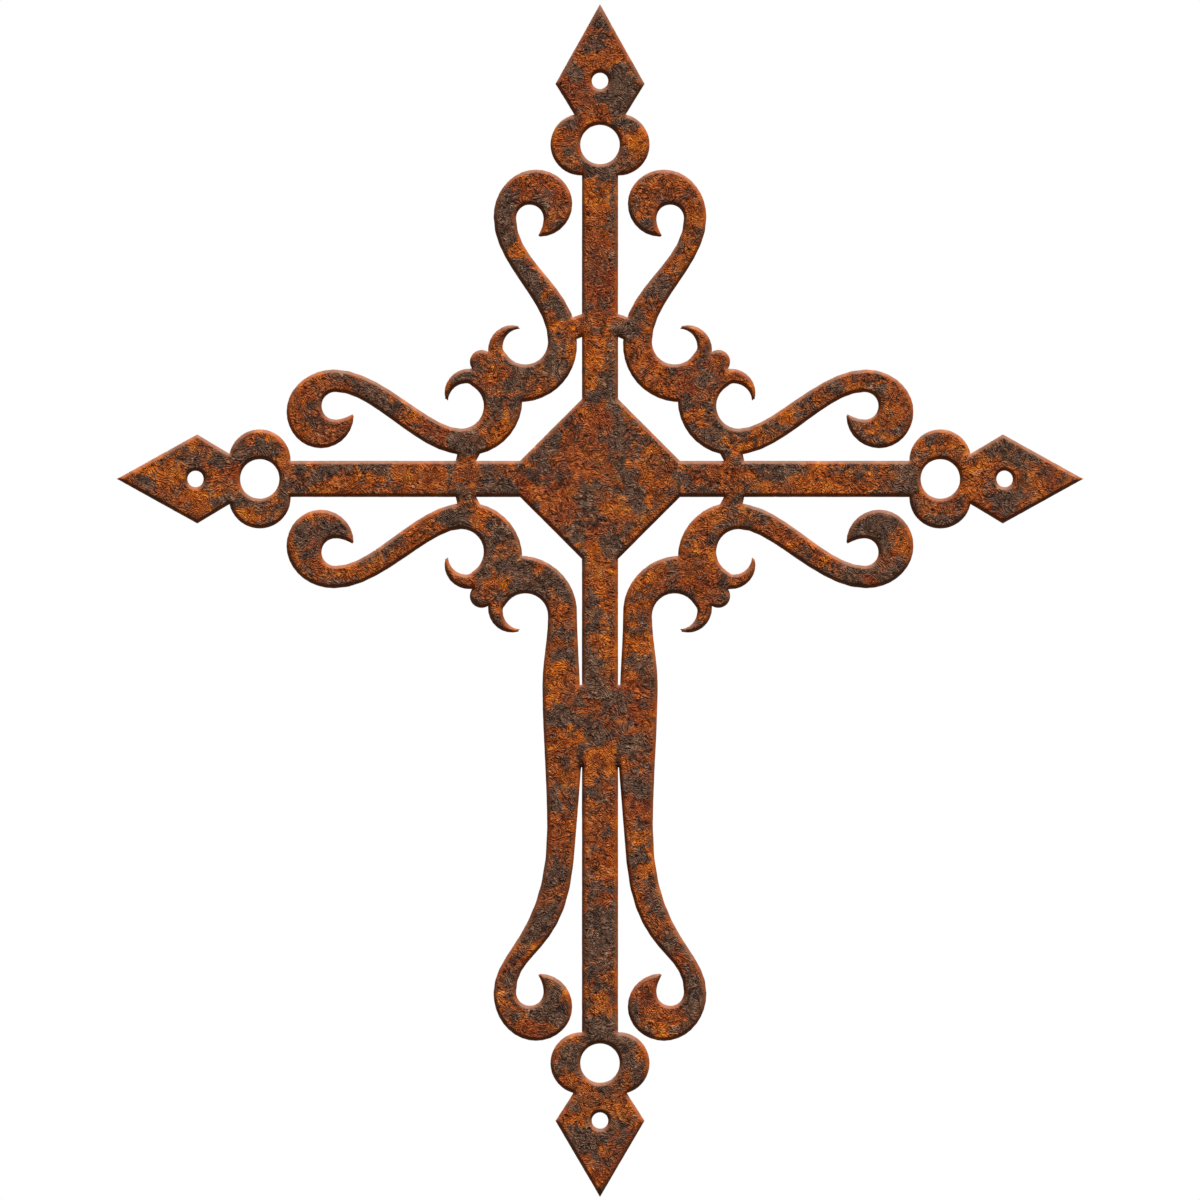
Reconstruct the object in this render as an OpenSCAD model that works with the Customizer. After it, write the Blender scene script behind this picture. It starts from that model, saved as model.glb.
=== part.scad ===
// Wrought iron cross: one flat plate, cut to its outline, with eased edges on both faces.
// It hangs in the XZ plane, its back on y = 0 and its front towards -Y.
// The origin is on the back face, at the axis of the top nail hole.

/* [Plate] */
// Thickness of the plate
plate_t = 5; // [4:0.5:8]
// Bevel that eases every edge, front and back
edge_ease = 1.3; // [0.4:0.1:1.8]

/* [Bars] */
// Width of the upright and of the arms
bar_w = 12.2; // [10:0.2:14]
// Half the diagonal of the square that stands on its corner where the bars cross
hub_reach = 33; // [26:1:38]

/* [Reach] */
// Hub centre to the top ring's centre
top_ring = 112.4; // [108:0.2:160]
// Hub centre to each arm ring's centre
arm_ring = 114.4; // [110:0.2:160]
// Hub centre to the foot ring's centre
foot_ring = 196.4; // [192:0.2:260]

/* [Ring collars] */
// Radius of each of a collar's two round lobes
lobe_r = 10.4; // [9.5:0.1:12]
// Lobe centre to the bar's centre line
lobe_out = 6.3; // [4:0.1:8]
// Radius of the round hole in the collar
ring_hole_r = 6.6; // [4:0.1:7.4]

/* [Spearheads] */
// Half the width of a spearhead at its shoulders
spear_half_w = 15; // [12:0.2:18]
// Collar centre to the shoulders, at the top
top_shoulder = 20.4; // [17:0.2:24]
// Collar centre to the tip, at the top
top_tip = 47.2; // [38:0.5:60]
// Collar centre to the shoulders, on the arms
arm_shoulder = 21; // [17:0.2:24]
// Collar centre to the tip, on the arms
arm_tip = 48.1; // [38:0.5:60]
// Collar centre to the shoulders, at the foot
foot_shoulder = 19.4; // [17:0.2:24]
// Collar centre to the tip, at the foot
foot_tip = 45; // [38:0.5:60]

/* [Nail holes] */
// Radius of the four nail holes
nail_r = 2.75; // [1.5:0.05:3.5]
// Collar centre to the nail hole, at the top
top_nail = 21.4; // [18:0.1:26]
// Collar centre to the nail hole, on the arms
arm_nail = 21.6; // [18:0.1:26]
// Collar centre to the nail hole, at the foot
foot_nail = 19.3; // [17:0.1:26]

/* [Scroll heads] */
// Hub centre to the eye of the top scrolls, along the upright
top_eye_along = 87.6; // [84:0.2:98]
// Hub centre to the eye of the arm scrolls, along the arm
arm_eye_along = 89; // [85:0.2:100]
// Hub centre to the eye of the foot scrolls, along the upright
foot_eye_along = 172.5; // [160:0.2:182]
// Centre line of a bar to the eye of the scroll beside it
eye_away = 23.6; // [22.5:0.1:26]
// How much further out the arm scrolls' eyes are
arm_eye_extra = 1; // [0:0.1:1.5]
// Radius of the eye, the round bay in a scroll's head
eye_r = 4.6; // [3.5:0.1:5.5]

/* [Corner crescents] */
// Radius of the two arcs of each corner that face the hub
belly_r = 19.2; // [18.6:0.1:20.5]
// Radius of the round bay inside each crescent
bay_r = 7.6; // [6.8:0.1:8.4]
// Radius of the knob between the two crescents
knob_r = 4; // [3:0.1:5]
// How much nearer the arm and further along it the arm-side crescents are
arm_crescent_shift = 0.6; // [0:0.1:1.2]

/* [Links] */
// Hub centre to the near edge of the links between the upright and the top scrolls
top_link_from = 47.2; // [46:0.2:50]
// Height of those links
top_link_w = 8.3; // [5:0.1:9]
// Hub centre to the near edge of the links between the arms and their scrolls
arm_link_from = 41.6; // [40:0.2:44]
// Width of those links
arm_link_w = 7; // [5:0.1:8]
// Hub centre to the top of the web that joins the foot scrolls to the upright
web_from = 69.2; // [60:0.2:75]
// Height of that web
web_h = 27.8; // [10:0.2:32]

/* [Hidden] */
rust_brown = "#7a4424";
past = 1;                       // how far a cutter runs past the surface it cuts
round_fn = 64;
hub_drop = top_ring + top_nail; // the origin to the hub centre

// Centres of the arcs in a corner, as [away from the bar, along it].
belly_c = [26.9, 45];
arm_belly_c = [26.5, 44.7];
arm_belly_r = belly_r - 0.6;
bay_c = [25.1, 46.1];
horn_out_c = [29.6, 43.3];
horn_out_r = [8.1, 8.4];
horn_in_c = [26.6, 44.4];
horn_in_r = 6.1;
knob_c = [39.8, 39.4];
boss_c = [36.4, 36.1];          // the solid middle of a corner, behind its knob
boss_r = 6.8;

// Centres, from the eye, and half-axes of the three quarter ellipses round a scroll's head.
head_c = [[-2.1, 0.4], [-2.1, 4.9], [-3.3, 4.9]];
head_r = [[14.3, 16], [12.2, 11.5], [11, 11.1]];
head_steps = [9, 8, 7];

// How the lip of a scroll's head leaves the eye, how it arrives, and its tip, from the eye.
lip_turn = 2.4;
lip_aim = [-3.6, -4.2];
lip_tip = [-2.8, -5.8];

// How far a short stem runs straight before it bends: at the foot and the head of its edge
// beside the bar, then at the foot and the head of its far edge.
top_pull = [18, 15, 14, 16];
arm_pull = [14, 12, 11, 16];

// A foot scroll's far edge at the web, from the upright's centre line, and where its two
// edges bend below the web, as [away from that line, back from the eye].
waist_away = 19.4;
bend_near = [8.9, 43.4];
bend_far = [17.8, 55.4];
lean_in = 0.1;                  // how far its near edge lies inside the upright at the web
web_half_w = 12;                // half the web's width, inside the scrolls' outer edges

// A link's two edges, as [away from the bar, along it] from the link's own corners.
top_link_far = [[2, 0.5], [6, 0.4], [9.5, -0.8], [13, -3.5]];
top_link_near = [[2, 2.2], [5.5, 0.8], [9, -0.8], [13, -2.5]];
arm_link_far = [[3, 0.6], [13, -1.6]];
arm_link_near = [[3, 1.6], [13, -3.6]];

spear_root = 4;                 // a spearhead's hidden corner, inside its collar's centre
thin_share = 0.4;               // the most of a narrow stroke's width that one bevel takes

// Points along an arc of an ellipse with half-axes r.x and r.y, from angle a to angle b.
function arc(c, r, a, b, n) =
    [for (i = [0:n]) let (t = a + (b - a) * i / n) c + [r.x * cos(t), r.y * sin(t)]];

// Points along the curve that leaves p towards q and reaches t from s.
function curve(p, q, s, t, n) =
    [for (i = [0:n]) let (u = i / n, v = 1 - u)
        v * v * v * p + 3 * v * v * u * q + 3 * v * u * u * s + u * u * u * t];

// A list of point lists as one list, leaving out points that repeat the one before.
function joined(lists) =
    let (all = [for (l = lists) each l])
    [for (i = [0:len(all) - 1]) if (i == 0 || norm(all[i] - all[max(i - 1, 0)]) > 0.01) all[i]];

function unit(v) = v / norm(v);

// The direction along a line of points at point i.
function heading(p, i) = unit(p[min(i + 1, len(p) - 1)] - p[max(i - 1, 0)]);

// The bevel at station i: edge_ease, or less where the stroke is too narrow for two of them.
function ease_at(left, right, i) = min(edge_ease, thin_share * norm(left[i] - right[i]));

// The eight corners of a stroke's section at station i, on y = 0 and y = -plate_t.
function section(left, right, i) =
    let (
        k = ease_at(left, right, i),
        dl = heading(left, i),
        dr = heading(right, i),
        l = left[i],
        r = right[i],
        li = l + k * [dl.y, -dl.x],
        ri = r + k * [-dr.y, dr.x]
    )
    [
        [li.x, -plate_t, li.y], [ri.x, -plate_t, ri.y], [r.x, k - plate_t, r.y], [r.x, -k, r.y],
        [ri.x, 0, ri.y], [li.x, 0, li.y], [l.x, -k, l.y], [l.x, k - plate_t, l.y]
    ];

// A bevelled stroke between its left and right edges, which have as many points each.
module stroke(left, right) {
    last = len(left) - 1;
    points = [for (i = [0:last]) each section(left, right, i)];
    sides = [for (i = [0:last - 1], j = [0:7])
        let (a = 8 * i + j, b = 8 * i + (j + 1) % 8)
        each [[a, a + 8, b + 8], [a, b + 8, b]]];
    caps = [for (j = [1:6]) each [[0, j, j + 1], [8 * last, 8 * last + j + 1, 8 * last + j]]];
    polyhedron(points, concat(sides, caps));
}

// The inset of a convex outline's corner i, for corners in anticlockwise order.
function inset(p, i, k) =
    let (
        n = len(p),
        a = unit(p[i] - p[(i + n - 1) % n]),
        b = unit(p[(i + 1) % n] - p[i])
    )
    p[i] + k * (b - a) / (a.x * b.y - a.y * b.x);

// A bevelled plate with a convex outline, given anticlockwise.
module convex_plate(p) {
    n = len(p);
    layers = [[edge_ease, -plate_t], [0, edge_ease - plate_t], [0, -edge_ease], [edge_ease, 0]];
    points = [for (l = layers, i = [0:n - 1]) let (q = inset(p, i, l[0])) [q.x, l[1], q.y]];
    sides = [for (l = [0:2], i = [0:n - 1])
        let (a = n * l + i, b = n * l + (i + 1) % n)
        each [[a, b + n, a + n], [a, b, b + n]]];
    front = [for (i = [n - 1:-1:0]) i];
    back = [for (i = [0:n - 1]) 3 * n + i];
    polyhedron(points, concat(sides, [front], [back]));
}

// A bevelled disc at [x, z].
module disc(c, r) {
    translate([c.x, 0, c.y])
        rotate([90, 0, 0])
            rotate_extrude($fn = round_fn)
                polygon([
                    [0, 0], [r - edge_ease, 0], [r, edge_ease],
                    [r, plate_t - edge_ease], [r - edge_ease, plate_t], [0, plate_t]
                ]);
}

// A straight bevelled strip along Z, centred on X, from z = from to z = to.
module strip(w, from, to) {
    h = w / 2;
    translate([0, 0, from])
        linear_extrude(height = to - from)
            polygon([
                [edge_ease - h, 0], [-h, -edge_ease], [-h, edge_ease - plate_t],
                [edge_ease - h, -plate_t], [h - edge_ease, -plate_t],
                [h, edge_ease - plate_t], [h, -edge_ease], [h - edge_ease, 0]
            ]);
}

// What is drawn along the upright, laid along the arm on the +X side instead.
module along_arm() {
    mirror([1, 0, -1]) children();
}

// Both sides of the upright.
module both_sides() {
    for (side = [0, 1])
        mirror([side, 0, 0]) children();
}

// A collar and spearhead at the end of a bar that runs up from the hub centre.
module finial(ring, shoulder, tip) {
    for (side = [-1, 1])
        disc([side * lobe_out, ring], lobe_r);
    convex_plate([
        [0, ring + tip], [-spear_half_w, ring + shoulder],
        [0, ring - spear_root], [spear_half_w, ring + shoulder]
    ]);
}

// The two edges of half a corner, from the horn's tip to the foot of its stem: round the
// outside of the horn and along the belly about c, and round the inside of horn and bay.
function crescent_outer(shift, c, r, end) = joined([
    arc(horn_out_c + shift, horn_out_r, 106, -2, 8),
    arc(c, [r, r], 300, end, 14)
]);
function crescent_inner(shift) = joined([
    arc(horn_in_c + shift, [horn_in_r, horn_in_r], 87, -8, 8),
    arc(bay_c + shift, [bay_r, bay_r], -35, -180, 14)
]);

// A scroll's head as a pair of edges, from its stem round the eye to its tip.
function head_outer(eye) = joined(
    [for (i = [0:2]) arc(eye + head_c[i], head_r[i], 90 * i, 90 * (i + 1), head_steps[i])]
);
function head_inner(eye) = joined([
    arc(eye, [eye_r, eye_r], 0, 90, head_steps[0]),
    arc(eye, [eye_r, eye_r], 90, 180, head_steps[1]),
    curve(eye - [eye_r, 0], eye - [eye_r, lip_turn], eye + lip_aim, eye + lip_tip, head_steps[2])
]);

// A short scroll: crescent, plain stem, head.
module scroll(crescent_a, crescent_b, eye, pull) {
    head_a = head_outer(eye);
    head_b = head_inner(eye);
    last = len(crescent_a) - 1;
    foot_a = crescent_a[last];
    foot_b = crescent_b[last];
    leave_a = foot_a + pull[0] * heading(crescent_a, last);
    leave_b = foot_b + [0, pull[2]];
    bar_side = joined([
        crescent_a,
        curve(foot_a, leave_a, head_b[0] - [0, pull[1]], head_b[0], 10),
        head_b
    ]);
    far_side = joined([
        crescent_b,
        curve(foot_b, leave_b, head_a[0] - [0, pull[3]], head_a[0], 10),
        head_a
    ]);
    stroke(bar_side, far_side);
}
module top_scroll() {
    scroll(
        crescent_outer([0, 0], belly_c, belly_r, 177), crescent_inner([0, 0]),
        [eye_away, top_eye_along], top_pull
    );
}
module arm_scroll() {
    shift = arm_crescent_shift * [-1, 1];
    along_arm()
        scroll(
            crescent_outer(shift, arm_belly_c, arm_belly_r, 163), crescent_inner(shift),
            [eye_away + arm_eye_extra, arm_eye_along], arm_pull
        );
}

// A long scroll: it leans on the upright at the web, then parts from it again.
module foot_scroll() {
    eye = [eye_away, foot_eye_along];
    crescent_a = crescent_outer([0, 0], belly_c, belly_r, 177);
    crescent_b = crescent_inner([0, 0]);
    head_a = head_outer(eye);
    head_b = head_inner(eye);
    foot_a = crescent_a[len(crescent_a) - 1];
    foot_b = crescent_b[len(crescent_b) - 1];
    waist_a = [bar_w / 2 - lean_in, web_from + web_h - 4];
    waist_b = [waist_away, web_from];
    bend_a = [bend_near.x, eye.y - bend_near.y];
    bend_b = [bend_far.x, eye.y - bend_far.y];
    bar_side = joined([
        crescent_a,
        curve(foot_a, foot_a + [0, 8], waist_a - [0, 16], waist_a, 6),
        curve(waist_a, waist_a + [0.9, 11], bend_a - [0.9, 10], bend_a, 6),
        curve(bend_a, bend_a + [3, 31], head_b[0] - [0, 14], head_b[0], 10),
        head_b
    ]);
    far_side = joined([
        crescent_b,
        curve(foot_b, foot_b + [0, 8], waist_b - [0, 8], waist_b, 6),
        curve(waist_b, waist_b + [0, 16], bend_b - [0, 16], bend_b, 6),
        curve(bend_b, bend_b + [0, 37], head_a[0] - [0, 15], head_a[0], 10),
        head_a
    ]);
    stroke(bar_side, far_side);
}

// The knob between a corner's two crescents, and the solid middle behind it.
module knob() {
    disc(knob_c, knob_r);
    disc(boss_c, boss_r);
}

// The links from the upright to the top scroll, and from the arm to the arm scroll.
module top_link() {
    near = [for (p = top_link_near) p + [0, top_link_from]];
    far = [for (p = top_link_far) p + [0, top_link_from + top_link_w]];
    stroke(
        curve(far[0], far[1], far[2], far[3], 6),
        curve(near[0], near[1], near[2], near[3], 6)
    );
}
module arm_link() {
    near = [for (p = arm_link_near) p + [0, arm_link_from]];
    far = [for (p = arm_link_far) p + [0, arm_link_from + arm_link_w]];
    along_arm() stroke(far, near);
}

// One quarter beside the upright and the arm, without its scroll along the upright.
module corner() {
    knob();
    arm_scroll();
    arm_link();
}

module bars() {
    strip(bar_w, -foot_ring, top_ring);
    rotate([0, 90, 0])
        strip(bar_w, -arm_ring, arm_ring);
    convex_plate([[0, hub_reach], [-hub_reach, 0], [0, -hub_reach], [hub_reach, 0]]);
}

// The flat web that joins both foot scrolls to the upright.
module web() {
    translate([0, 0, -web_from - web_h / 2])
        rotate([0, 90, 0])
            strip(web_h, -web_half_w, web_half_w);
}

// A round hole through the plate at [x, z], its rims opened by ease on both faces.
module hole(c, r, ease) {
    translate([c.x, -plate_t / 2, c.y])
        rotate([90, 0, 0]) {
            cylinder(h = plate_t + 2 * past, r = r, center = true, $fn = round_fn);
            if (ease > 0)
                for (face = [0, 1])
                    mirror([0, 0, face])
                        translate([0, 0, plate_t / 2 - ease])
                            cylinder(h = 2 * ease, r1 = r, r2 = r + 2 * ease, $fn = round_fn);
        }
}

module blank() {
    bars();
    web();
    finial(top_ring, top_shoulder, top_tip);
    mirror([0, 0, 1]) finial(foot_ring, foot_shoulder, foot_tip);
    both_sides() {
        along_arm() finial(arm_ring, arm_shoulder, arm_tip);
        top_scroll();
        top_link();
        corner();
        mirror([0, 0, 1]) {
            foot_scroll();
            corner();
        }
    }
}

module cross() {
    rings = [[0, top_ring], [0, -foot_ring], [arm_ring, 0], [-arm_ring, 0]];
    nails = [
        [0, top_ring + top_nail], [0, -foot_ring - foot_nail],
        [arm_ring + arm_nail, 0], [-arm_ring - arm_nail, 0]
    ];
    color(rust_brown)
        translate([0, 0, -hub_drop])
            difference() {
                blank();
                for (c = rings) hole(c, ring_hole_r, edge_ease);
                for (c = nails) hole(c, nail_r, 0);
            }
}

cross();
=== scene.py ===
"""A rusted wrought iron cross, cut from flat plate, seen straight on in soft light from above."""

import math
from types import SimpleNamespace

import bmesh
import bpy
import numpy as np
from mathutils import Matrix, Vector
from mathutils.bvhtree import BVHTree
from mathutils.geometry import delaunay_2d_cdt


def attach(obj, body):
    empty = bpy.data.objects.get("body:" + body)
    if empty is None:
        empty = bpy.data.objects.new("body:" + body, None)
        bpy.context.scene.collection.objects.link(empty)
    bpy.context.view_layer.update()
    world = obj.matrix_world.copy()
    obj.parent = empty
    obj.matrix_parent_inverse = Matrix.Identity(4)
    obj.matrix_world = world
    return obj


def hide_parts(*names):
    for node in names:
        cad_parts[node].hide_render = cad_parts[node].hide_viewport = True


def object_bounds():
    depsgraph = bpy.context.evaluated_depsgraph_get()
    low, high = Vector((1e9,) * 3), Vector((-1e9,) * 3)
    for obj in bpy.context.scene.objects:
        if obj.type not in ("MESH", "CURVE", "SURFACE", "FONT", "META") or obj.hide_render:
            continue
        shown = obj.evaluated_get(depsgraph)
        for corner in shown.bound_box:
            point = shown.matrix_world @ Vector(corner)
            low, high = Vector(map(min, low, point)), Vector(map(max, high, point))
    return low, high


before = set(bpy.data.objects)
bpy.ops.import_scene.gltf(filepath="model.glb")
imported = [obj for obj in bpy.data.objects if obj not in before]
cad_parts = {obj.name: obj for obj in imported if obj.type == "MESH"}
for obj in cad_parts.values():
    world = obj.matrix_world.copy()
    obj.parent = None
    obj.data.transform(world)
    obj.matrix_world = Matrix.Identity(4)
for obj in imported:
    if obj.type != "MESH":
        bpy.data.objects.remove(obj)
cad_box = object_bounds()

MM = 0.001
BODY = "root"
NODE = "cross"

# The plate, in mm. Its back is on y = 0 and its front on y = -THICKNESS, and both faces meet its
# walls in a bevel, as wide as it is deep. BEVEL_ROUNDING softens the line where a bevel starts, and
# the look of the bevels gives way to the faces' from LOOK_FROM to LOOK_TO inside the outline.
THICKNESS = -cad_box[0].y / MM
BEVEL = 1.15
BEVEL_ROUNDING = 0.07
LOOK_FROM = 0.75 * BEVEL
LOOK_TO = 1.25 * BEVEL

# The outline, in mm: points of the CAD solid nearer to each other than WELD are one point, points
# nearer than CROWDED are thinned out, and a turn of more than CORNER_DEG stays a corner. Each
# stretch between two points is drawn as CURVE_PARTS straight parts before it is spaced out evenly.
WELD = 0.001
CROWDED = 0.12
CORNER_DEG = 35
CURVE_PARTS = 8

# The mesh, in mm: how far apart points lie along the outline and on the front and back faces,
# and how far inside the outline the rings of points run that shape the bevel. A ring's point is
# left out where the outline is nearer than RING_CLEARANCE of that, and the grid inside the last
# ring keeps GRID_CLEARANCE of a step from it. Its points are shaken by up to GRID_SHAKE of a step.
OUTLINE_STEP = 0.75
FRONT_STEP = 0.74
BACK_STEP = 1.0
FRONT_RINGS = (0.5, 0.98, 1.3)
BACK_RINGS = (0.6, 1.2)
RING_CLEARANCE = 0.93
GRID_CLEARANCE = 0.55
GRID_SHAKE = 0.16
WALL_ROWS = 3

# The relief of the rusted surface, in mm: the size of its patches of scale, lumps, crinkles and
# pits, how far each kind rises or sinks, how deep the surface lies without them, and how deep it
# goes at most. The bevel is without BEVEL_SPARED of it.
PATCH_SIZE = 11.0
LUMP_SIZE = 5.0
CRINKLE_SIZE = 2.4
PIT_SIZE = 2.3
SCALE_RISE = 0.08
LUMP_RISE = 0.11
CRINKLE_RISE = 0.14
PIT_SINK = 0.28
USUAL_DEPTH = 0.25
GREATEST_DEPTH = 0.7
BEVEL_SPARED = 0.72

# The gaps beside the foot bar end upwards in slits, more than SLIT_BELOW_HUB below the hub and
# within SLIT_REACH of the middle, and painted shade makes a dark end above each of them. All in mm.
SLIT_BELOW_HUB = 60
SLIT_REACH = 12
SLIT_END_LENGTH = 4.0
SLIT_END_WIDTH = 2.2

# How the rust takes light, on the faces and on the bevels: its roughness, its shine, and the fine
# relief that only the shading has, FINE_RELIEF mm deep, of which the bevels keep FINE_ON_BEVEL.
FACE_ROUGHNESS = 0.62
BEVEL_ROUGHNESS = 0.5
SHINE = 0.10
FINE_RELIEF = 0.30
FINE_ON_BEVEL = 0.22

# Colours over the values of the blotches, for orange rust, for red rust and for dark scale.
RUST_COLOURS = (
    (0.30, "#5e290b"), (0.42, "#86390b"), (0.50, "#ab4c0b"), (0.58, "#cb640e"), (0.70, "#e48a1f"))
RED_RUST_COLOURS = (
    (0.30, "#521f0c"), (0.46, "#7d2f12"), (0.58, "#9c4318"), (0.72, "#bc652e"))
SCALE_COLOURS = (
    (0.30, "#342017"), (0.44, "#4d3224"), (0.54, "#644330"), (0.66, "#7f5942"), (0.78, "#9a7256"))

# Colours of what lies over them, some of them painted highlights and painted shade.
BROWN_VEIL = "#66422e"
# Painted highlight on the raised crests, paler on rust than on scale.
CREST_HIGHLIGHT_ON_RUST = "#de8038"
CREST_HIGHLIGHT_ON_SCALE = "#ad876a"
GLINT_ON_RUST = "#cf8044"
GLINT_ON_SCALE = "#a38a7a"
FLECK = "#cfa082"
SHADE = "#24130a"
# Painted shade in the cracks.
CRACK_SHADE = "#1e0f08"
# Dark pits, and the painted shade at the ends above the slits.
PIT_AND_SLIT_SHADE = "#150a06"
# Painted shade in the hollows of the relief, darker the deeper they sink.
HOLLOW_SHADE = "#231109"
BEVEL_RUST = "#7e3f17"
# Painted highlight on surfaces that face upwards, towards the light from above.
TOP_HIGHLIGHT = "#8a6a58"
FLOOR_SEEN = "#9e9e9c"
FLOOR_AS_LIGHT = "#2e2c2a"

# The camera and the floor, in m. The picture is FRAME_SPAN wide where it meets the plate, and is
# aimed below the hub, whose middle is at HUB_HEIGHT. The lens is set for a sensor SENSOR mm wide.
FRAME_SPAN = 403.2 * MM
CAMERA_DISTANCE = 4.0
SENSOR = 36.0
HUB_HEIGHT = -133.8 * MM
AIM_BELOW_HUB = 40.7 * MM
FLOOR_BELOW_TIP = 450 * MM
FLOOR_REACH = 4.5

# The strength of the light from all round: WORLD_BELOW from directions whose z is under
# WORLD_LOW, WORLD_ABOVE from those whose z is over WORLD_HIGH, and an even change between them.
WORLD_ABOVE = 0.36
WORLD_BELOW = 0.05
WORLD_LOW = -0.4
WORLD_HIGH = 0.6


# ---------------------------------------------------------------- noise

class Noise:
    """Gradient noise in three dimensions, the same each run for the same seed."""

    CORNERS = [(i, j, k) for i in (0, 1) for j in (0, 1) for k in (0, 1)]
    PERIOD = 256
    OCTAVE_SHIFT = 17.3

    def __init__(self, seed):
        draw = np.random.default_rng(seed)
        self.order = np.tile(draw.permutation(self.PERIOD), 2)
        slopes = draw.normal(size=(self.PERIOD, 3))
        self.slopes = slopes / np.linalg.norm(slopes, axis=1, keepdims=True)

    def __call__(self, points):
        """Values from about -0.8 to 0.8, with features one unit across."""
        cell = np.floor(points).astype(int)
        local = points - cell
        cell %= self.PERIOD
        blend = local * local * local * (local * (local * 6 - 15) + 10)
        total = np.zeros(len(points))
        for corner in self.CORNERS:
            x, y, z = ((cell + corner) % self.PERIOD).T
            slope = self.slopes[self.order[self.order[self.order[x] + y] + z]]
            weight = np.prod(np.where(corner, blend, 1 - blend), axis=1)
            total += weight * np.sum(slope * (local - corner), axis=1)
        return total

    def layered(self, points, octaves, gain=0.5):
        """Several sizes of the same noise, each half as large and gain as strong as the last."""
        total = np.zeros(len(points))
        for octave in range(octaves):
            total += gain**octave * self(points * 2**octave + self.OCTAVE_SHIFT * octave)
        return total


def smoothstep(low, high, value):
    """0 up to low, 1 from high on, and a smooth rise between them."""
    t = np.clip((value - low) / (high - low), 0, 1)
    return t * t * (3 - 2 * t)


SCALE_NOISE = Noise(3)
WARP_NOISES = [Noise(seed) for seed in (11, 12, 13)]
LUMP_NOISE = Noise(21)
CRINKLE_NOISE = Noise(31)
PIT_NOISE = Noise(41)


def warped(points, size, reach):
    """Points in mm, pushed about by up to about reach in swirls of the given size."""
    shift = np.stack([noise.layered(points / size, 2) for noise in WARP_NOISES], axis=1)
    return points + reach * shift


def scale_amount(points):
    """How much dark mill scale is left at each point: over 0 on the patches, under 0 on rust."""
    swirled = warped(points, size=9.0, reach=5.0)
    return SCALE_NOISE.layered(swirled / PATCH_SIZE, octaves=5, gain=0.62)


def relief(points):
    """Depth below the plate's true surface, in mm, from 0 up."""
    scale = smoothstep(-0.03, 0.07, scale_amount(points))
    lumps = LUMP_NOISE.layered(points / LUMP_SIZE, octaves=3)
    swirled = warped(points, size=4.0, reach=2.2)
    sharpness = 2.4
    crinkles = 1 - np.abs(CRINKLE_NOISE.layered(swirled / CRINKLE_SIZE, octaves=2)) * sharpness
    pits = smoothstep(0.30, 0.52, PIT_NOISE(points / PIT_SIZE))
    height = SCALE_RISE * scale + LUMP_RISE * lumps + CRINKLE_RISE * crinkles - PIT_SINK * pits
    return np.clip(USUAL_DEPTH - height, 0, GREATEST_DEPTH)


# ---------------------------------------------------------------- the plate's outline

def signed_area(loop):
    """Twice the area inside a closed loop, positive where it runs anticlockwise."""
    after = np.roll(loop, -1, axis=0)
    return np.sum(loop[:, 0] * after[:, 1] - loop[:, 1] * after[:, 0])


def cad_outline():
    """The loops of points [x, z], in mm, that bound the CAD plate half way through it.

    The plate lies to the left of every loop, the outer one and those round its gaps alike."""
    cut = bmesh.new()
    cut.from_mesh(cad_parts[NODE].data)
    bmesh.ops.remove_doubles(cut, verts=cut.verts, dist=WELD * MM)
    middle = (0, -THICKNESS / 2 * MM, 0)
    whole = cut.verts[:] + cut.edges[:] + cut.faces[:]
    section = bmesh.ops.bisect_plane(cut, geom=whole, plane_co=middle, plane_no=(0, 1, 0))["geom_cut"]
    edges = {item for item in section if isinstance(item, bmesh.types.BMEdge)}
    left = {item: None for item in section if isinstance(item, bmesh.types.BMVert)}
    loops = []
    while left:
        vert = next(iter(left))
        loop = []
        while vert is not None:
            del left[vert]
            loop.append((vert.co.x, vert.co.z))
            around = [edge.other_vert(vert) for edge in vert.link_edges if edge in edges]
            vert = next((other for other in around if other in left), None)
        loops.append(np.array(loop) / MM)
    cut.free()
    loops.sort(key=lambda loop: -abs(signed_area(loop)))
    turned = [loop if signed_area(loop) > 0 else loop[::-1] for loop in loops]
    return turned[:1] + [loop[::-1] for loop in turned[1:]]


def without_crowding(loop, nearest):
    """The loop without points that lie nearer than that to the last one kept."""
    kept = [loop[0]]
    for point in loop[1:]:
        if np.linalg.norm(point - kept[-1]) >= nearest:
            kept.append(point)
    if np.linalg.norm(kept[0] - kept[-1]) < nearest:
        kept.pop()
    return np.array(kept)


def evenly_spaced(curve, step):
    """Points at equal distances, about step, along an open curve, without its last point."""
    along = np.concatenate([[0], np.cumsum(np.linalg.norm(np.diff(curve, axis=0), axis=1))])
    count = max(1, round(along[-1] / step))
    wanted = np.arange(count) * along[-1] / count
    return np.stack([np.interp(wanted, along, curve[:, axis]) for axis in (0, 1)], axis=1)


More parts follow.
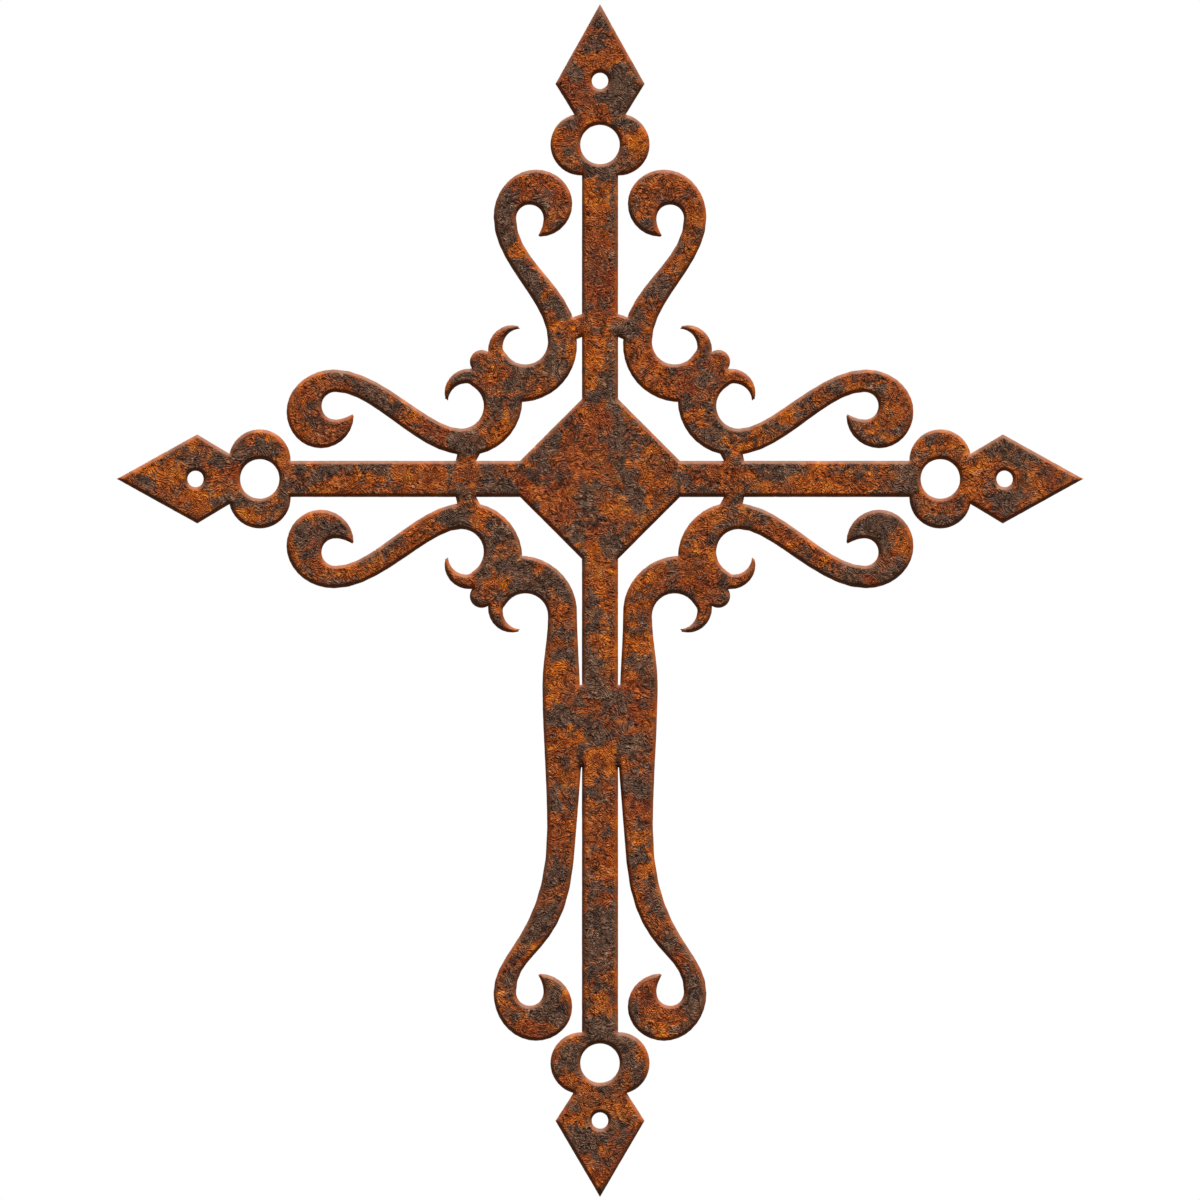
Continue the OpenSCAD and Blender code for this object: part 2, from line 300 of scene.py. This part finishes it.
def smooth_loop(loop, step):
    """The loop as a smooth curve between its corners, with a point about every step."""
    loop = without_crowding(loop, CROWDED)
    ahead = np.roll(loop, -1, axis=0) - loop
    length = np.linalg.norm(ahead, axis=1, keepdims=True)
    ahead = ahead / length
    behind = np.roll(ahead, 1, axis=0)
    length_behind = np.roll(length, 1, axis=0)
    turn = np.degrees(np.arccos(np.clip(np.sum(ahead * behind, axis=1), -1, 1)))
    tangent = length_behind * behind + length * ahead
    tangent /= np.linalg.norm(tangent, axis=1, keepdims=True)
    corner = turn > CORNER_DEG

    t = np.linspace(0, 1, CURVE_PARTS + 1)[:-1, None]
    starts = [i for i in range(len(loop)) if corner[i]] or [0]
    stretches = []
    for start, end in zip(starts, starts[1:] + [starts[0] + len(loop)]):
        curve = []
        for i in range(start, end):
            i, j = i % len(loop), (i + 1) % len(loop)
            leave = ahead[i] if corner[i] else tangent[i]
            arrive = ahead[i] if corner[j] else tangent[j]
            curve.append(
                (2 * t**3 - 3 * t**2 + 1) * loop[i] + (t**3 - 2 * t**2 + t) * length[i] * leave
                + (3 * t**2 - 2 * t**3) * loop[j] + (t**3 - t**2) * length[i] * arrive)
        curve.append(loop[None, end % len(loop)])
        stretches.append(evenly_spaced(np.concatenate(curve), step))
    return np.concatenate(stretches)


class Outline:
    """The plate's smooth outline, its inward directions, and distances from it, in mm."""

    def __init__(self):
        self.loops = [smooth_loop(loop, OUTLINE_STEP) for loop in cad_outline()]
        self.points = np.concatenate(self.loops)
        self.next = []
        first = 0
        for loop in self.loops:
            self.next += [first + (i + 1) % len(loop) for i in range(len(loop))]
            first += len(loop)
        self.next = np.array(self.next)
        ahead = self.points[self.next] - self.points
        ahead /= np.linalg.norm(ahead, axis=1, keepdims=True)
        behind = np.empty_like(ahead)
        behind[self.next] = ahead
        tangent = ahead + behind
        tangent /= np.linalg.norm(tangent, axis=1, keepdims=True)
        self.inward = np.stack([-tangent[:, 1], tangent[:, 0]], axis=1)
        count = len(self.points)
        wall = [(x, y, z) for y in (-1, 1) for x, z in self.points]
        quads = [(i, j, j + count, i + count) for i, j in enumerate(self.next)]
        self.wall = BVHTree.FromPolygons(wall, quads)

    def distance(self, points):
        """How far each point [x, z] lies from the outline."""
        return np.array([self.wall.find_nearest((x, 0, z))[3] for x, z in points])

    def encloses(self, points):
        """True for each point in the plate: a ray from it crosses the outline an odd number of times."""
        (x0, z0), (x1, z1) = self.points.T, self.points[self.next].T
        inside = []
        for x, z in points:
            rows = (z0 > z) != (z1 > z)
            crossing = x0[rows] + (z - z0[rows]) / (z1[rows] - z0[rows]) * (x1[rows] - x0[rows])
            inside.append(np.count_nonzero(crossing > x) % 2 == 1)
        return np.array(inside)


# ---------------------------------------------------------------- the plate's mesh

def grid_inside(outline, step, clearance):
    """Points of a triangular grid that lie inside the plate, clear of its outline."""
    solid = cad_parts[NODE].data
    plate = BVHTree.FromPolygons(
        [vertex.co / MM for vertex in solid.vertices], [face.vertices for face in solid.polygons])
    low, high = outline.points.min(axis=0), outline.points.max(axis=0)
    rows = np.arange(low[1], high[1], step * math.sqrt(3) / 2)
    columns = np.arange(low[0], high[0], step)
    x, z = np.meshgrid(columns, rows)
    x[1::2] += step / 2
    shake = np.random.default_rng(5).uniform(-GRID_SHAKE, GRID_SHAKE, (2, x.size)) * step
    points = np.stack([x.ravel(), z.ravel()], axis=1) + shake.T
    starts = [Vector((x, -2 * THICKNESS, z)) for x, z in points]
    inside = [plate.ray_cast(start, Vector((0, 1, 0)))[0] is not None for start in starts]
    points = points[np.array(inside)]
    return points[outline.distance(points) > clearance]


def face_mesh(outline, step, rings):
    """Points [x, z] of one face, outline first, their distances from it, and their triangles."""
    groups = [outline.points]
    for depth in rings:
        ring = outline.points + depth * outline.inward
        groups.append(ring[outline.distance(ring) > RING_CLEARANCE * depth])
    groups.append(grid_inside(outline, step, rings[-1] + GRID_CLEARANCE * step))
    points = np.concatenate(groups)
    edges = [(i, int(j)) for i, j in enumerate(outline.next)]
    all_triangles, tolerance = 0, 1e-5
    corners = [Vector(point) for point in points]
    found = delaunay_2d_cdt(corners, edges, [], all_triangles, tolerance, False)
    triangles = np.array(found[2])
    inside = (triangles >= len(outline.points)).any(axis=1)
    doubtful = np.flatnonzero(~inside)
    inside[doubtful] = outline.encloses(points[triangles[doubtful]].mean(axis=1))
    return points, outline.distance(points), triangles[inside]


def bevel_depth(distance):
    """How far below its face the plate's surface lies, at a distance from the outline."""
    ahead = BEVEL - distance
    return (ahead + np.sqrt(ahead**2 + 4 * BEVEL_ROUNDING**2)) / 2


def plate_mesh(outline):
    """The whole plate, front, back and walls, still smooth: points in mm and triangles."""
    points, triangles = [], []
    rims = []
    first = 0
    for front, step, rings in ((True, FRONT_STEP, FRONT_RINGS), (False, BACK_STEP, BACK_RINGS)):
        flat, distance, faces = face_mesh(outline, step, rings)
        depth = bevel_depth(distance)
        y = depth - THICKNESS if front else -depth
        points.append(np.stack([flat[:, 0], y, flat[:, 1]], axis=1))
        triangles.append(first + (faces if front else faces[:, ::-1]))
        rims.append(first)
        first += len(flat)
    count = len(outline.points)
    rim_depth = bevel_depth(0.0)
    rows = [rims[0] + np.arange(count)]
    for row in range(1, WALL_ROWS):
        y = rim_depth - THICKNESS + (THICKNESS - 2 * rim_depth) * row / WALL_ROWS
        points.append(np.insert(outline.points, 1, y, axis=1))
        rows.append(first + np.arange(count))
        first += count
    rows.append(rims[1] + np.arange(count))
    for near, far in zip(rows, rows[1:]):
        a, b, c, d = near, near[outline.next], far[outline.next], far
        triangles += [np.stack([a, d, c], axis=1), np.stack([a, c, b], axis=1)]
    return np.concatenate(points), np.concatenate(triangles)


def normal_array(mesh):
    """The mesh's vertex normals, a row for each."""
    values = np.zeros(len(mesh.vertices) * 3, np.float32)
    mesh.vertex_normals.foreach_get("vector", values)
    return values.reshape(-1, 3).astype(float)


def add_attribute(mesh, name, values):
    """Gives each vertex a number that the material reads by name."""
    layer = mesh.attributes.new(name, "FLOAT", "POINT")
    layer.data.foreach_set("value", values.astype(np.float32))


def painted_slit_shade(points, outline):
    """Painted shade on each point, up to 1, on the dark ends that carry on above the slits by the foot bar.
    """
    dark = np.zeros(len(points))
    outer = outline.loops[0]
    low = outer[outer[:, 1] < HUB_HEIGHT / MM - SLIT_BELOW_HUB]
    for side in (-1, 1):
        beside = low[(side * low[:, 0] > 0) & (side * low[:, 0] < SLIT_REACH)]
        tip_x, tip_z = beside[beside[:, 1].argmax()]
        above = np.clip(points[:, 2] - tip_z, 0, SLIT_END_LENGTH)
        away = np.hypot(points[:, 0] - tip_x, points[:, 2] - tip_z - above)
        core, rim = 0.3 * SLIT_END_WIDTH, 0.65 * SLIT_END_WIDTH
        fading = 1 - 0.3 * above / SLIT_END_LENGTH
        dark = np.maximum(dark, (1 - smoothstep(core, rim, away)) * fading)
    return dark


def make_iron():
    """The plate with rounded bevels and its faces rusted into scale, crinkles and pits."""
    outline = Outline()
    points, triangles = plate_mesh(outline)
    mesh = bpy.data.meshes.new("rusted_iron")
    mesh.from_pydata(points * MM, [], triangles.tolist())
    mesh.update()
    iron = bpy.data.objects.new("rusted_iron", mesh)
    bpy.context.scene.collection.objects.link(iron)

    # 1 on the bevels and walls, 0 on the faces.
    edge = 1 - smoothstep(LOOK_FROM, LOOK_TO, outline.distance(points[:, [0, 2]]))
    depth = relief(points) * (1 - BEVEL_SPARED * edge)
    sunk = points - normal_array(mesh) * depth[:, None]
    mesh.vertices.foreach_set("co", (sunk * MM).ravel())
    add_attribute(mesh, "edge", edge)
    # Painted shade at the ends above the slits by the foot bar.
    add_attribute(mesh, "slit_shade", painted_slit_shade(points, outline))
    add_attribute(mesh, "scale", scale_amount(points))
    add_attribute(mesh, "sunk", depth)
    mesh.polygons.foreach_set("use_smooth", np.ones(len(mesh.polygons), bool))
    mesh.update()
    return iron


# ---------------------------------------------------------------- the rust

def colour(hex_code):
    """A screen colour as written, such as "#7a4424", in the linear numbers that a shader takes."""
    parts = [int(hex_code[i:i + 2], 16) / 255 for i in (1, 3, 5)]
    return [p / 12.92 if p <= 0.04045 else ((p + 0.055) / 1.055) ** 2.4 for p in parts] + [1]


class Nodes:
    """Short ways to add nodes to a new material's tree, or to the tree of the owner given."""

    def __init__(self, name, owner=None):
        self.owner = owner or bpy.data.materials.new(name)
        self.owner.use_nodes = True
        self.tree = self.owner.node_tree
        self.tree.nodes.clear()

    def add(self, kind, inputs=None, **settings):
        """A new node. Each input is a number, a list of them or another node's socket."""
        node = self.tree.nodes.new("ShaderNode" + kind)
        for name, value in settings.items():
            setattr(node, name, value)
        for socket, value in (inputs or {}).items():
            if isinstance(value, bpy.types.NodeSocket):
                self.tree.links.new(value, node.inputs[socket])
            else:
                node.inputs[socket].default_value = value
        return node

    def math(self, operation, a, b=0.0):
        return self.add("Math", {0: a, 1: b}, operation=operation).outputs[0]

    def spread(self, value, low, high, to_low=0.0, to_high=1.0):
        """value's range low to high as to_low to to_high, held at the ends."""
        inputs = {"Value": value, "From Min": low, "From Max": high, "To Min": to_low, "To Max": to_high}
        return self.add("MapRange", inputs).outputs["Result"]

    def ramp(self, value, stops):
        """Colours along a value, from (position, hex code) pairs."""
        node = self.add("ValToRGB", {"Fac": value})
        first, last = node.color_ramp.elements
        for element, (position, code) in ((first, stops[0]), (last, stops[-1])):
            element.position = position
            element.color = colour(code)
        for position, code in stops[1:-1]:
            node.color_ramp.elements.new(position).color = colour(code)
        return node.outputs["Color"]

    def mix(self, amount, a, b):
        """a where amount is 0 and b where it is 1. Both are sockets or hex codes."""
        a, b = (colour(tone) if isinstance(tone, str) else tone for tone in (a, b))
        return self.add("Mix", {0: amount, 6: a, 7: b}, data_type="RGBA").outputs[2]

    def tint(self, base, tone, strength, *masks):
        """base turned towards tone, by strength where every mask is 1."""
        amount = strength
        for mask in reversed(masks):
            amount = self.math("MULTIPLY", mask, amount)
        return self.mix(amount, base, tone)


class Patterns(Nodes):
    """Nodes with patterns that are fixed to the object and to its mesh."""

    def __init__(self, name):
        super().__init__(name)
        self.coordinates = self.add("TexCoord").outputs["Object"]

    def attribute(self, name):
        """The number that the mesh has for each vertex under that name."""
        return self.add("Attribute", attribute_name=name).outputs["Fac"]

    def noise(self, size_mm, detail, roughness=0.55, distortion=0.0, offset=0.0):
        """Cloudy noise with features about size_mm across. Each offset gives another noise."""
        where = self.add("VectorMath", {0: self.coordinates, 1: [offset] * 3}, operation="ADD")
        inputs = {
            "Vector": where.outputs[0], "Scale": 1 / (size_mm * MM), "Detail": detail,
            "Roughness": roughness, "Distortion": distortion,
        }
        return self.add("TexNoise", inputs).outputs["Fac"]

    def ridges(self, noise, sharpness):
        """Noise as crests, 1 along its middle value and falling to 0 on both sides."""
        off_middle = self.math("ABSOLUTE", self.math("SUBTRACT", noise, 0.5))
        return self.spread(self.math("MULTIPLY", off_middle, 2 * sharpness), 0, 1, 1, 0)

    def swirls(self, noise, lines):
        """Waves from -1 to 1 that follow the contours of a noise, with that many lines over its range."""
        return self.math("SINE", self.math("MULTIPLY", noise, 2 * math.pi * lines))

    def pits(self, spacing_mm, radius_mm):
        """1 in small round pits, in some of the cells of a scatter with that spacing, and 0 around them."""
        scatter = self.add("TexVoronoi", {"Vector": self.coordinates, "Scale": 1 / (spacing_mm * MM)})
        lot = self.add("SeparateColor", {0: scatter.outputs["Color"]}).outputs[0]
        radius = radius_mm / spacing_mm
        hollow = self.spread(scatter.outputs["Distance"], radius, 0.5 * radius)
        return self.math("MULTIPLY", self.spread(lot, 0.45, 0.55), hollow)


def iron_patterns(n):
    """All that the iron's colour and fine relief are made from. Sizes are in mm."""
    return SimpleNamespace(
        # From the mesh: bevels, dark scale over rust, depth of the relief in mm, and painted shade above
        # the slits.
        edge=n.attribute("edge"),
        scale=n.attribute("scale"),
        sunk=n.attribute("sunk"),
        slit_shade=n.attribute("slit_shade"),
        # Thin lines, strokes and pits.
        cracks=n.ridges(n.noise(4.6, detail=1, roughness=0.5, distortion=1.3), sharpness=13),
        wrinkles=n.ridges(n.noise(1.7, detail=1, roughness=0.6, distortion=1.5, offset=0.3), sharpness=5),
        lifted=n.ridges(n.noise(4.0, detail=1, roughness=0.5, distortion=1.5, offset=2.3), sharpness=12),
        swirls=n.swirls(n.noise(8.0, detail=1, roughness=0.45, distortion=0.9, offset=3.1), lines=19),
        pits=n.pits(spacing_mm=3.4, radius_mm=0.65),
        # Clouds: in the height, in the colours, and where lines break off, rust reddens or dulls
        # and pale flecks lie.
        swell=n.noise(2.0, detail=3, roughness=0.62, distortion=1.2, offset=1.1),
        blotch=n.noise(3.4, detail=5, roughness=0.68, distortion=0.6, offset=0.7),
        broken=n.noise(5.0, detail=2, roughness=0.6, offset=4.2),
        drift=n.noise(26, detail=2, roughness=0.5, offset=1.9),
        veil=n.noise(11, detail=4, roughness=0.65, distortion=0.5, offset=5.1),
        rare=n.noise(5.0, detail=1, offset=6.3),
    )


def scale_share(n, iron):
    """1 where dark scale is left and 0 on rust, with ragged borders between them."""
    ragged = n.math("ADD", iron.scale, n.spread(iron.wrinkles, 0, 1, -0.08, 0.08))
    ragged = n.math("ADD", ragged, n.spread(iron.blotch, 0.3, 0.7, 0.16, -0.16))
    return n.spread(ragged, -0.12, 0.14)


def ground_colour(n, iron, on_scale):
    """Blotched rust, redder or browner in places, and blotched scale."""
    rust = n.ramp(iron.blotch, RUST_COLOURS)
    red_rust = n.ramp(iron.blotch, RED_RUST_COLOURS)
    rust = n.mix(n.spread(iron.drift, 0.46, 0.62), rust, red_rust)
    rust = n.mix(n.spread(iron.veil, 0.47, 0.65, 0, 0.6), rust, BROWN_VEIL)
    return n.mix(on_scale, rust, n.ramp(iron.blotch, SCALE_COLOURS))


def iron_colour(n, iron):
    """The ground colour with everything that lies on it, fainter on the bevels, painted highlights and
    painted shade among it.
    """
    on_scale = scale_share(n, iron)
    face = n.spread(iron.edge, 0, 1, 1, 0.25)
    base = ground_colour(n, iron, on_scale)

    # Painted highlight along the raised crests, where their lines are unbroken.
    crest_highlight = n.mix(on_scale, CREST_HIGHLIGHT_ON_RUST, CREST_HIGHLIGHT_ON_SCALE)
    base = n.tint(base, crest_highlight, 0.65, iron.lifted, n.spread(iron.broken, 0.44, 0.56), face)
    glint = n.mix(on_scale, GLINT_ON_RUST, GLINT_ON_SCALE)
    lit = n.math("MULTIPLY", n.spread(iron.swirls, 0.25, 1.0), n.spread(iron.broken, 0.60, 0.44))
    base = n.tint(base, glint, n.spread(on_scale, 0, 1, 0.42, 0.31), lit, face)
    base = n.tint(base, SHADE, 0.42, n.spread(iron.swirls, -0.35, -1.0), face)
    base = n.tint(base, FLECK, 0.6, iron.lifted, n.spread(iron.rare, 0.66, 0.72), face)
    # Painted shade in the cracks, where their lines are unbroken.
    base = n.tint(base, CRACK_SHADE, 0.75, iron.cracks, n.spread(iron.broken, 0.66, 0.50), face)
    base = n.tint(base, PIT_AND_SLIT_SHADE, 0.9, iron.pits, face)

    # Painted shade: the deeper the relief sinks here, the darker.
    base = n.tint(base, HOLLOW_SHADE, 0.7, n.spread(iron.sunk, 0.34, 0.56))
    base = n.tint(base, BEVEL_RUST, 0.5, iron.edge)
    # Painted highlight: surfaces turned upwards are paler.
    upward = n.add("SeparateXYZ", {0: n.add("NewGeometry").outputs["Normal"]}).outputs["Z"]
    base = n.tint(base, TOP_HIGHLIGHT, 0.4, n.spread(upward, 0.2, 0.7))
    # Painted shade at the ends above the slits by the foot bar.
    return n.tint(base, PIT_AND_SLIT_SHADE, 0.88, iron.slit_shade)


def iron_height(n, iron):
    """The fine relief that the mesh is too coarse for."""
    height = n.math("MULTIPLY", iron.swell, 1.6)
    for pattern, rise in (
            (iron.cracks, -1.0), (iron.lifted, 0.5), (iron.swirls, 0.25), (iron.wrinkles, -0.5),
            (iron.pits, -1.5)):
        height = n.math("ADD", height, n.math("MULTIPLY", pattern, rise))
    return height


def rust_material():
    """Iron rusted all over, duller on its faces than on its bevels."""
    n = Patterns("rusted_iron")
    iron = iron_patterns(n)
    bump = n.add("Bump", {
        "Strength": n.spread(iron.edge, 0, 1, 1, FINE_ON_BEVEL), "Distance": FINE_RELIEF * MM,
        "Height": iron_height(n, iron),
    })
    roughness = n.spread(iron.edge, 0, 1, FACE_ROUGHNESS, BEVEL_ROUGHNESS)
    shader = n.add("BsdfPrincipled", {
        "Base Color": iron_colour(n, iron), "Roughness": roughness,
        "Normal": bump.outputs["Normal"], "Specular IOR Level": SHINE,
    })
    n.add("OutputMaterial", {"Surface": shader.outputs["BSDF"]})
    return n.owner


# ---------------------------------------------------------------- the studio

def shows_backdrop(n):
    """1 for the rays that see the background: the camera's, and those in gloss and glass."""
    path = n.add("LightPath")
    seen = n.math("MAXIMUM", path.outputs["Is Camera Ray"], path.outputs["Is Glossy Ray"])
    return n.math("MAXIMUM", seen, path.outputs["Is Transmission Ray"])


def make_floor():
    """A pale floor well below the cross. It throws little light back up at it."""
    height = cad_box[0].z - FLOOR_BELOW_TIP
    mesh = bpy.data.meshes.new("floor")
    signs = ((-1, -1), (1, -1), (1, 1), (-1, 1))
    corners = [(x * FLOOR_REACH, y * FLOOR_REACH, height) for x, y in signs]
    mesh.from_pydata(corners, [], [(0, 1, 2, 3)])
    floor = bpy.data.objects.new("floor", mesh)
    bpy.context.scene.collection.objects.link(floor)
    n = Nodes("pale_floor")
    pale = n.add("BsdfDiffuse", {"Color": colour(FLOOR_SEEN)})
    dim = n.add("BsdfDiffuse", {"Color": colour(FLOOR_AS_LIGHT)})
    pick = n.add("MixShader", {0: shows_backdrop(n), 1: dim.outputs[0], 2: pale.outputs[0]})
    n.add("OutputMaterial", {"Surface": pick.outputs[0]})
    mesh.materials.append(n.owner)


def make_world():
    """Soft white light, weaker from below, and a white background for the camera and for gloss."""
    world = bpy.data.worlds.new("studio")
    n = Nodes("studio", world)
    direction = n.add("SeparateXYZ", {0: n.add("TexCoord").outputs["Generated"]})
    level = n.spread(direction.outputs["Z"], WORLD_LOW, WORLD_HIGH, WORLD_BELOW, WORLD_ABOVE)
    light = n.add("Background", {"Color": colour("#ffffff"), "Strength": level})
    backdrop = n.add("Background", {"Color": colour("#ffffff"), "Strength": 1.0})
    pick = n.add("MixShader", {0: shows_backdrop(n), 1: light.outputs[0], 2: backdrop.outputs[0]})
    n.add("OutputWorld", {"Surface": pick.outputs[0]})
    bpy.context.scene.world = world


def make_sun(name, towards, strength, softness_deg):
    """A sun lamp that shines from the direction of towards."""
    data = bpy.data.lights.new(name, "SUN")
    data.energy = strength
    data.angle = math.radians(softness_deg)
    lamp = bpy.data.objects.new(name, data)
    bpy.context.scene.collection.objects.link(lamp)
    direction = np.array(towards, float)
    direction /= np.linalg.norm(direction)
    lamp.rotation_mode = "QUATERNION"
    lamp.rotation_quaternion = Vector(direction).to_track_quat("Z", "Y")


def make_camera():
    """A long lens square to the plate."""
    data = bpy.data.cameras.new("camera")
    data.sensor_width = SENSOR
    data.lens = SENSOR * CAMERA_DISTANCE / FRAME_SPAN
    data.clip_end = 50
    camera = bpy.data.objects.new("camera", data)
    front = cad_box[0].y
    camera.location = (0, front - CAMERA_DISTANCE, HUB_HEIGHT - AIM_BELOW_HUB)
    camera.rotation_euler = (math.radians(90), 0, 0)
    bpy.context.scene.collection.objects.link(camera)
    bpy.context.scene.camera = camera


bpy.context.scene.view_settings.view_transform = "Standard"
make_camera()
make_floor()
make_world()
make_sun("key", towards=(0.23, -0.31, 0.92), strength=7.4, softness_deg=8)
make_sun("back_fill", towards=(-0.4, 0.8, 0.45), strength=2.6, softness_deg=30)

iron = make_iron()
iron.data.materials.clear()
iron.data.materials.append(rust_material())
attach(iron, BODY)
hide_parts(NODE)
